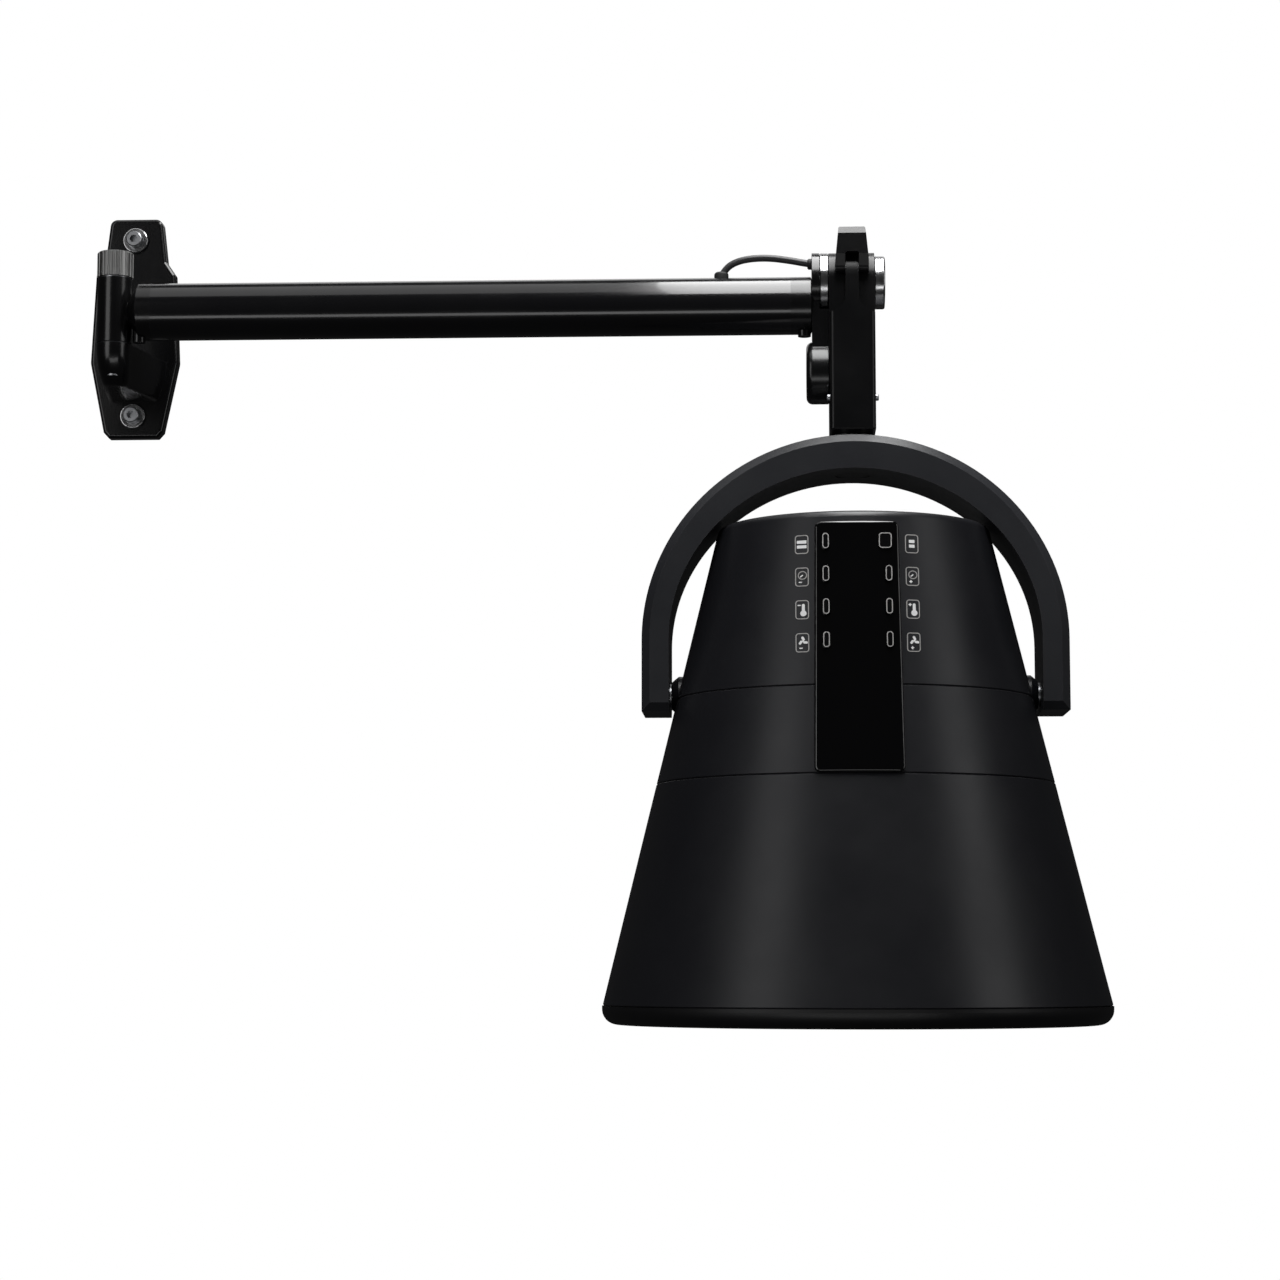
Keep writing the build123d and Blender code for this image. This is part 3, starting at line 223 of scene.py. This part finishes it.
def place_effect(tree, effect, **values):
    """Puts a shared effect in a material with this material's own values."""
    node = tree.nodes.new("ShaderNodeGroup")
    node.node_tree = effect
    for key, value in values.items():
        node.inputs[key].default_value = value
    return node


def bump(tree, shader, height, strength, distance):
    """Small relief from a height."""
    node = add_node(tree, "ShaderNodeBump", links=[("Height", height)], Strength=strength, Distance=distance)
    tree.links.new(node.outputs["Normal"], shader.inputs["Normal"])


def polish(tree, shader, smooth, rough, scale=14.0):
    """Uneven polish between two roughness values."""
    effect = place_effect(tree, HANDLING, Smooth=smooth, Rough=rough, Scale=scale)
    tree.links.new(effect.outputs["Roughness"], shader.inputs["Roughness"])


def dusted(tree, shader, color, amount, worn=None, wear_width=0.8 * MM, wear=0.5):
    """Base colour with dust on top, and a paler colour rubbed through along the edges."""
    dust = place_effect(tree, DUST, Color=(*color, 1), Amount=amount)
    result = dust.outputs["Color"]
    if worn:
        mask = place_effect(tree, EDGE_WEAR, Width=wear_width).outputs["Mask"]
        mix = add_node(tree, "ShaderNodeMix", data_type="RGBA")
        tree.links.new(math_node(tree, "MULTIPLY", mask, wear), mix.inputs["Factor"])
        tree.links.new(result, mix.inputs[6])
        mix.inputs[7].default_value = (*worn, 1)
        result = mix.outputs[2]
    tree.links.new(result, shader.inputs["Base Color"])


def casting_paint(name, color, smooth, rough, coat, worn, specular=0.5):
    """Sprayed paint on castings, rubbed paler along the edges."""
    material, tree, shader = new_finish(name, Coat_Weight=coat, Coat_Roughness=0.2,
                                        Specular_IOR_Level=specular)
    dusted(tree, shader, color, 0.04, worn=worn, wear=0.4)
    polish(tree, shader, smooth, rough)
    bump(tree, shader, place_effect(tree, PEEL, Scale=420.0).outputs["Height"], 0.10, 0.3 * MM)
    return material


def tube_paint():
    """High-gloss black paint on the arm tube."""
    material, tree, shader = new_finish("gloss_tube_paint", Coat_Weight=0.6, Coat_Roughness=0.05)
    dusted(tree, shader, (0.006, 0.006, 0.007), 0.03)
    polish(tree, shader, 0.14, 0.22, scale=9.0)
    bump(tree, shader, place_effect(tree, PEEL, Scale=160.0).outputs["Height"], 0.05, 0.2 * MM)
    return material


def bright_metal(name, color, smooth, rough, scratch_scale):
    """Plated or turned metal with fine scratches and an uneven polish."""
    material, tree, shader = new_finish(name, Metallic=1.0, Base_Color=(*color, 1))
    polish(tree, shader, smooth, rough, scale=60.0)
    bump(tree, shader, place_effect(tree, PEEL, Scale=scratch_scale).outputs["Height"], 0.04, 0.1 * MM)
    return material


def plastic(name, color, smooth, rough, grain, depth, dust=0.05, coat=0.0, coat_rough=0.25, worn=None):
    """Moulded plastic with its grain, polish and dust."""
    material, tree, shader = new_finish(name, Coat_Weight=coat, Coat_Roughness=coat_rough)
    dusted(tree, shader, color, dust, worn=worn, wear_width=0.6 * MM, wear=0.35)
    polish(tree, shader, smooth, rough)
    bump(tree, shader, place_effect(tree, GRAIN, Scale=grain).outputs["Height"], depth, 0.15 * MM)
    return material


FINISHES = {
    "cast_paint": casting_paint("satin_casting_paint", (0.003, 0.003, 0.0035), 0.26, 0.36, 0.06,
                                (0.04, 0.04, 0.042), specular=0.36),
    "tube_paint": tube_paint(),
    "chrome": bright_metal("chrome_plate", (0.66, 0.66, 0.67), 0.12, 0.26, 900.0),
    "steel": bright_metal("zinc_steel", (0.52, 0.53, 0.55), 0.28, 0.42, 1600.0),
    "bronze": bright_metal("sintered_bronze", (0.42, 0.27, 0.14), 0.4, 0.55, 2400.0),
    "coil": bright_metal("resistance_wire", (0.40, 0.36, 0.33), 0.35, 0.55, 1800.0),
    "rubber": plastic("soft_rubber", (0.016, 0.016, 0.017), 0.55, 0.7, 1500.0, 0.15),
    "lead": plastic("lead_sheath", (0.028, 0.028, 0.030), 0.34, 0.45, 1800.0, 0.08),
    "hood_plastic": plastic("hood_moulding", (0.0095, 0.0098, 0.0125), 0.34, 0.44, 1300.0, 0.16,
                            coat=0.05, worn=(0.07, 0.07, 0.075)),
    "rim_plastic": plastic("rim_moulding", (0.006, 0.006, 0.007), 0.38, 0.50, 1300.0, 0.2),
    "bowl_plastic": plastic("bowl_moulding", (0.035, 0.036, 0.040), 0.45, 0.6, 1100.0, 0.2),
    "panel_gloss": plastic("panel_gloss", (0.0015, 0.0015, 0.0018), 0.05, 0.10, 600.0, 0.01, dust=0.01,
                           coat=0.8, coat_rough=0.03),
    "key_gloss": plastic("key_gloss", (0.003, 0.003, 0.0035), 0.10, 0.18, 600.0, 0.02, dust=0.02,
                         coat=0.6, coat_rough=0.06),
    "mica": plastic("mica_board", (0.42, 0.36, 0.26), 0.35, 0.6, 500.0, 0.3),
    "fan_plastic": plastic("fan_moulding", (0.10, 0.10, 0.105), 0.4, 0.55, 1300.0, 0.15),
    "board": plastic("board_lacquer", (0.02, 0.09, 0.04), 0.2, 0.35, 800.0, 0.05),
}
KNOB_FINISH = bright_metal("turned_aluminium", (0.34, 0.34, 0.335), 0.30, 0.42, 1400.0)
YOKE_FINISH = casting_paint("matt_yoke_paint", (0.024, 0.025, 0.029), 0.34, 0.46, 0.08, (0.09, 0.09, 0.095))
GLOSS_CASTING = casting_paint("gloss_casting_paint", (0.004, 0.004, 0.0045), 0.17, 0.26, 0.35,
                              (0.05, 0.05, 0.052))
# Pale grey for the printed mark frames and clock faces, and also for the rings on the keys, which are a painted
# highlight standing in for the light caught along each key's edge.
PRINT_AND_PAINTED_HIGHLIGHT = plastic("printed_ink_and_painted_key_highlight", (0.44, 0.43, 0.42), 0.45, 0.55, 1500.0, 0.05, dust=0.0)
BRIGHT_INK = plastic("bright_ink", (0.95, 0.95, 0.95), 0.45, 0.55, 1500.0, 0.05, dust=0.0)

for part in frame["record"]["subparts"]:
    node = NODES[part["node"]]
    node.data.materials.clear()
    node.data.materials.append(FINISHES[part["material_slot"]])
NODES["clamp_knob"].data.materials[0] = KNOB_FINISH
NODES["yoke"].data.materials[0] = YOKE_FINISH
for casting in ("wall_bracket", "root_fitting", "elbow_housing"):
    NODES[casting].data.materials[0] = GLOSS_CASTING


# ============================================================================================
# Pieces
# ============================================================================================
def make_piece(name, mesh_data, finish, body):
    """Links a finished mesh or curve as a piece that rides on a body."""
    piece = bpy.data.objects.new(name, mesh_data)
    bpy.context.scene.collection.objects.link(piece)
    mesh_data.materials.append(finish)
    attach(piece, body)
    return piece


# ---- jumper lead: its route as x and z in millimetres ---------------------------------------
LEAD_X_Z = [(495.2, 22.0), (498.6, 28.2), (506.5, 33.6), (518.5, 36.4), (534.0, 36.8), (551.0, 34.4),
            (562.0, 32.2), (568.2, 31.2)]
LEAD_DIAMETER = 5.6 * MM


def make_lead():
    """The lead that arches from the tube's grommet to the elbow's gland."""
    data = bpy.data.curves.new("jumper_lead_curve", "CURVE")
    data.dimensions = "3D"
    line = data.splines.new("NURBS")
    line.points.add(len(LEAD_X_Z) - 1)
    for point, (x, z) in zip(line.points, LEAD_X_Z):
        point.co = (x * MM, HOOD_AXIS.y, z * MM, 1)
    line.order_u = 3
    line.use_endpoint_u = True
    line.resolution_u = 12
    data.bevel_depth = LEAD_DIAMETER / 2
    data.bevel_resolution = 8
    data.use_fill_caps = True
    piece = make_piece("jumper_lead_sheath", data, FINISHES["lead"], "arm")
    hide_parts("jumper_lead")
    return piece


make_lead()


# ---- printed marks, and key outline rings painted as highlights along the keys' edges ------
PRINT_AND_HIGHLIGHT_LIFT = 0.08 * MM
MARK_X = 42 * MM          # marks' distance from the hood's middle line
MARK_HALF = (5.15 * MM, 7.7 * MM)     # half width and half height of a mark's frame
MARK_LINE = 0.72 * MM
MARK_ROUND = 2.4 * MM
MARK_ROUND_INSIDE = 1.6 * MM
MARK_DROP = 1.5 * MM      # marks stand a little lower than their keys
SIGN_LENGTH = 2.6 * MM
SIGN_WIDTH = 0.95 * MM
OUT = -PRESS
UP_SLOPE = Vector((0, OUT.z, -OUT.y))


def pill(half_width, half_height, radius, middle=(0.0, 0.0), turn=0.0, steps=7):
    """Closed outline of a rounded rectangle, turned about its middle."""
    across = half_width - radius
    up = half_height - radius
    corners = [(across, up, 0), (-across, up, 90), (-across, -up, 180), (across, -up, 270)]
    spin = Matrix.Rotation(math.radians(turn), 2)
    points = []
    for x, y, start in corners:
        for n in range(steps + 1):
            angle = math.radians(start + 90 * n / steps)
            corner = spin @ Vector((x + radius * math.cos(angle), y + radius * math.sin(angle)))
            points.append((corner.x + middle[0], corner.y + middle[1]))
    return points


def dot(radius, middle=(0.0, 0.0)):
    """Closed outline of a disc."""
    return pill(radius, radius, radius * 0.999, middle)


def bar(length, width, middle=(0.0, 0.0), turn=0.0):
    """Closed outline of a stroke with round ends."""
    return pill(length / 2, width / 2, width * 0.499, middle, turn)


def print_and_highlight_mesh(name, place, bands=(), patches=()):
    """Raised ink, and raised painted highlight rings on the keys: bands between two outlines and filled patches,
    set on a surface by place(u, v, lift).
    """
    shape = bmesh.new()

    def walls(rows, ink=0):
        for row, following in zip(rows, rows[1:]):
            for n in range(len(row)):
                m = (n + 1) % len(row)
                shape.faces.new((row[n], row[m], following[m], following[n])).material_index = ink

    def loop(outline, lift):
        return [shape.verts.new(place(u, v, lift)) for u, v in outline]

    for outer, inner in bands:
        rows = [loop(outer, 0.0), loop(outer, PRINT_AND_HIGHLIGHT_LIFT), loop(inner, PRINT_AND_HIGHLIGHT_LIFT), loop(inner, 0.0)]
        walls(rows + rows[:1])
    for outline in patches:
        rows = [loop(outline, 0.0), loop(outline, PRINT_AND_HIGHLIGHT_LIFT)]
        walls(rows, ink=1)
        shape.faces.new(rows[1]).material_index = 1
        shape.faces.new(rows[0][::-1]).material_index = 1
    bmesh.ops.recalc_face_normals(shape, faces=shape.faces)
    mesh = bpy.data.meshes.new(name)
    shape.to_mesh(mesh)
    shape.free()
    return mesh


def on_shell(x, z):
    """Places a mark's own (across, up) on the upper shell's cone."""
    def place(u, v, lift):
        height = z + v * UP_SLOPE.z
        radius = shell_radius(height) + lift
        across = x + u
        return (HOOD_AXIS.x + across, HOOD_AXIS.y - math.sqrt(radius**2 - across**2), height)
    return place


def on_key(middle):
    """Places an outline's own (across, up) on a key's flat face."""
    def place(u, v, lift):
        return middle + Vector((u, 0, 0)) + UP_SLOPE * v + OUT * lift
    return place


def key_face(node):
    """Middle of a key's front face, and the face's half width and half height along the slope."""
    points = [v.co for v in NODES[node].data.vertices]
    front = max(p.dot(OUT) for p in points)
    face = [p for p in points if p.dot(OUT) > front - 0.02 * MM]
    xs = [p.x for p in face]
    rises = [p.dot(UP_SLOPE) for p in face]
    rise = (min(rises) + max(rises)) / 2
    middle = Vector(((min(xs) + max(xs)) / 2, 0, 0)) + UP_SLOPE * rise + OUT * front
    return middle, (max(xs) - min(xs)) / 2, (max(rises) - min(rises)) / 2


def sign_strokes(plus, middle):
    """A minus, or a plus."""
    strokes = [bar(SIGN_LENGTH, SIGN_WIDTH, middle)]
    if plus:
        strokes.append(bar(SIGN_LENGTH, SIGN_WIDTH, middle, turn=90))
    return strokes


def hold_mark(plus):
    """Two long bars, or two small blocks."""
    half_length = 2.2 * MM if plus else 3.7 * MM
    half_width = 1.3 * MM
    return [], [pill(half_length, half_width, 0.3 * MM, (0, v)) for v in (2.0 * MM, -1.9 * MM)]


def time_mark(plus):
    """A clock face with one hand."""
    middle = (0.4 * MM, 1.3 * MM)
    radius = 3.5 * MM
    face = (dot(radius, middle), dot(0.8 * radius, middle))
    hand = bar(2.8 * MM, 0.9 * MM, (middle[0] - 0.7 * MM, middle[1] - 0.6 * MM), turn=40)
    return [face], [hand] + sign_strokes(plus, (-1.2 * MM, -4.3 * MM))


def heat_mark(plus):
    """A thermometer."""
    stem = bar(7.0 * MM, 2.3 * MM, (0.9 * MM, 1.2 * MM), turn=90)
    return [], [stem, dot(2.4 * MM, (0.9 * MM, -3.0 * MM))] + sign_strokes(plus, (-2.2 * MM, 3.6 * MM))


def air_mark(plus):
    """A three-bladed fan."""
    middle = (0.5 * MM, 1.2 * MM)
    reach = 2.1 * MM
    blades = []
    for turn in (90, 210, 330):
        angle = math.radians(turn)
        place = (middle[0] + reach * math.cos(angle), middle[1] + reach * math.sin(angle))
        blades.append(bar(3.6 * MM, 2.0 * MM, place, turn=turn + 25))
    return [], blades + [dot(0.75 * MM, middle)] + sign_strokes(plus, (-1.0 * MM, -4.4 * MM))


MARKS = {"key_pause": (hold_mark, -1, False), "key_stop": (hold_mark, 1, True),
         "key_time_less": (time_mark, -1, False), "key_time_more": (time_mark, 1, True),
         "key_heat_less": (heat_mark, -1, False), "key_heat_more": (heat_mark, 1, True),
         "key_air_less": (air_mark, -1, False), "key_air_more": (air_mark, 1, True)}
KEY_INSET = 0.35 * MM     # the painted highlight ring's distance inside a key's edge
KEY_LINE = 0.7 * MM
KEY_ROUND = 2.8 * MM

for key, (make_mark, side, plus) in MARKS.items():
    middle, half_width, half_height = key_face(key)
    bands, patches = make_mark(plus)
    outer = pill(*MARK_HALF, MARK_ROUND)
    inner = pill(MARK_HALF[0] - MARK_LINE, MARK_HALF[1] - MARK_LINE, MARK_ROUND_INSIDE)
    surface = on_shell(side * MARK_X, middle.z - MARK_DROP)
    mesh = print_and_highlight_mesh(f"{key}_mark", surface, bands + [(outer, inner)], patches)
    make_piece(f"{key}_mark", mesh, PRINT_AND_PAINTED_HIGHLIGHT, "hood")
    mesh.materials.append(BRIGHT_INK)

    # A ring just inside the key's edge: a painted highlight standing in for the light that the key's edge catches.
    # It is not print.
    radius = min(half_width, KEY_ROUND) - KEY_INSET
    outer = pill(half_width - KEY_INSET, half_height - KEY_INSET, radius)
    inset = KEY_INSET + KEY_LINE
    inner = pill(half_width - inset, half_height - inset, radius - KEY_LINE)
    mesh = print_and_highlight_mesh(f"{key}_outline", on_key(middle), [(outer, inner)])
    make_piece(f"{key}_outline", mesh, PRINT_AND_PAINTED_HIGHLIGHT, f"{key}_body")


# ============================================================================================
# Floor, light and camera
# ============================================================================================
FLOOR_MIDDLE = (0.35, -0.3, -1.35)
FLOOR_RADIUS = 2.2
FLOOR_GLOW = 0.72         # keeps the floor pale under the dim light that black finishes need
SEEN_LIGHT = 1.0          # backdrop's brightness
AROUND_LIGHT = 0.018      # what the object gets from it


def make_floor():
    """A plain pale round floor below the object."""
    shape = bmesh.new()
    bmesh.ops.create_circle(shape, cap_ends=True, segments=96, radius=FLOOR_RADIUS,
                            matrix=Matrix.Translation(FLOOR_MIDDLE))
    mesh = bpy.data.meshes.new("floor")
    shape.to_mesh(mesh)
    shape.free()
    floor = bpy.data.objects.new("floor", mesh)
    bpy.context.scene.collection.objects.link(floor)
    mesh.materials.append(new_finish("pale_floor", Base_Color=(0.5, 0.5, 0.5, 1), Roughness=0.7,
                                     Emission_Color=(1, 1, 1, 1), Emission_Strength=FLOOR_GLOW)[0])
    floor.visible_diffuse = False
    floor.visible_glossy = False


# Each light's name, place, target, width and height, and power in watts.
SOFTBOXES = [
    ("left_box", (-1.05, -1.72, 0.1), HOOD_MIDDLE, (0.9, 2.0), 7.5),
    ("right_box", (2.30, -0.92, 0.3), HOOD_MIDDLE, (0.75, 1.8), 4.6),
    ("top_box", (0.1, -0.5, 1.6), (0.1, -0.5, 0), (2.4, 1.6), 9.3),
    ("elbow_box", (0.64, -0.40, 0.75), (0.64, -0.40, 0), (0.45, 1.1), 12),
    ("low_front_box", (0.4, -1.9, -1.15), (0.4, -0.088, -0.2), (2.2, 0.35), 4),
    ("back_box", (0.3, 1.7, 1.2), HOOD_MIDDLE, (2.2, 1.2), 7),
]


def softbox(name, place, target, size, power):
    """A rectangular soft light aimed at a point."""
    data = bpy.data.lights.new(name, "AREA")
    data.shape = "RECTANGLE"
    data.size, data.size_y = size
    data.energy = power
    light = bpy.data.objects.new(name, data)
    light.location = place
    light.rotation_euler = (Vector(target) - Vector(place)).to_track_quat("-Z", "Y").to_euler()
    bpy.context.scene.collection.objects.link(light)


def make_world():
    """White for the camera, dimmer for reflections, so that black gloss stays black."""
    world = bpy.data.worlds.new("studio")
    bpy.context.scene.world = world
    world.use_nodes = True
    tree = world.node_tree
    tree.nodes.clear()
    seen = add_node(tree, "ShaderNodeBackground", Color=(1, 1, 1, 1), Strength=SEEN_LIGHT)
    around = add_node(tree, "ShaderNodeBackground", Color=(1, 1, 1, 1), Strength=AROUND_LIGHT)
    ray = add_node(tree, "ShaderNodeLightPath").outputs["Is Camera Ray"]
    mix = tree.nodes.new("ShaderNodeMixShader")
    tree.links.new(ray, mix.inputs["Fac"])
    tree.links.new(around.outputs[0], mix.inputs[1])
    tree.links.new(seen.outputs[0], mix.inputs[2])
    output = tree.nodes.new("ShaderNodeOutputWorld")
    tree.links.new(mix.outputs[0], output.inputs["Surface"])


CAMERA_OFFSET = Vector((-0.060, -2.402, -0.530))      # from the hood's axis at the arm's height
CAMERA_LEFT = math.radians(2.64)
CAMERA_UP = 0.1062                                    # radians
CAMERA_LENS = 85
SENSOR_WIDTH = 36


def make_camera():
    """A long lens at chair height that looks slightly up."""
    data = bpy.data.cameras.new("camera")
    data.lens = CAMERA_LENS
    data.sensor_width = SENSOR_WIDTH
    camera = bpy.data.objects.new("camera", data)
    camera.location = Vector((HOOD_AXIS.x, HOOD_AXIS.y, 0)) + CAMERA_OFFSET
    ahead = Vector((-math.sin(CAMERA_LEFT) * math.cos(CAMERA_UP), math.cos(CAMERA_LEFT) * math.cos(CAMERA_UP),
                    math.sin(CAMERA_UP)))
    camera.rotation_euler = ahead.to_track_quat("-Z", "Y").to_euler()
    bpy.context.scene.collection.objects.link(camera)
    bpy.context.scene.camera = camera


make_floor()
make_world()
make_camera()
for name, place, target, size, power in SOFTBOXES:
    softbox(name, place, target, size, power)
bpy.context.scene.view_settings.view_transform = "Standard"
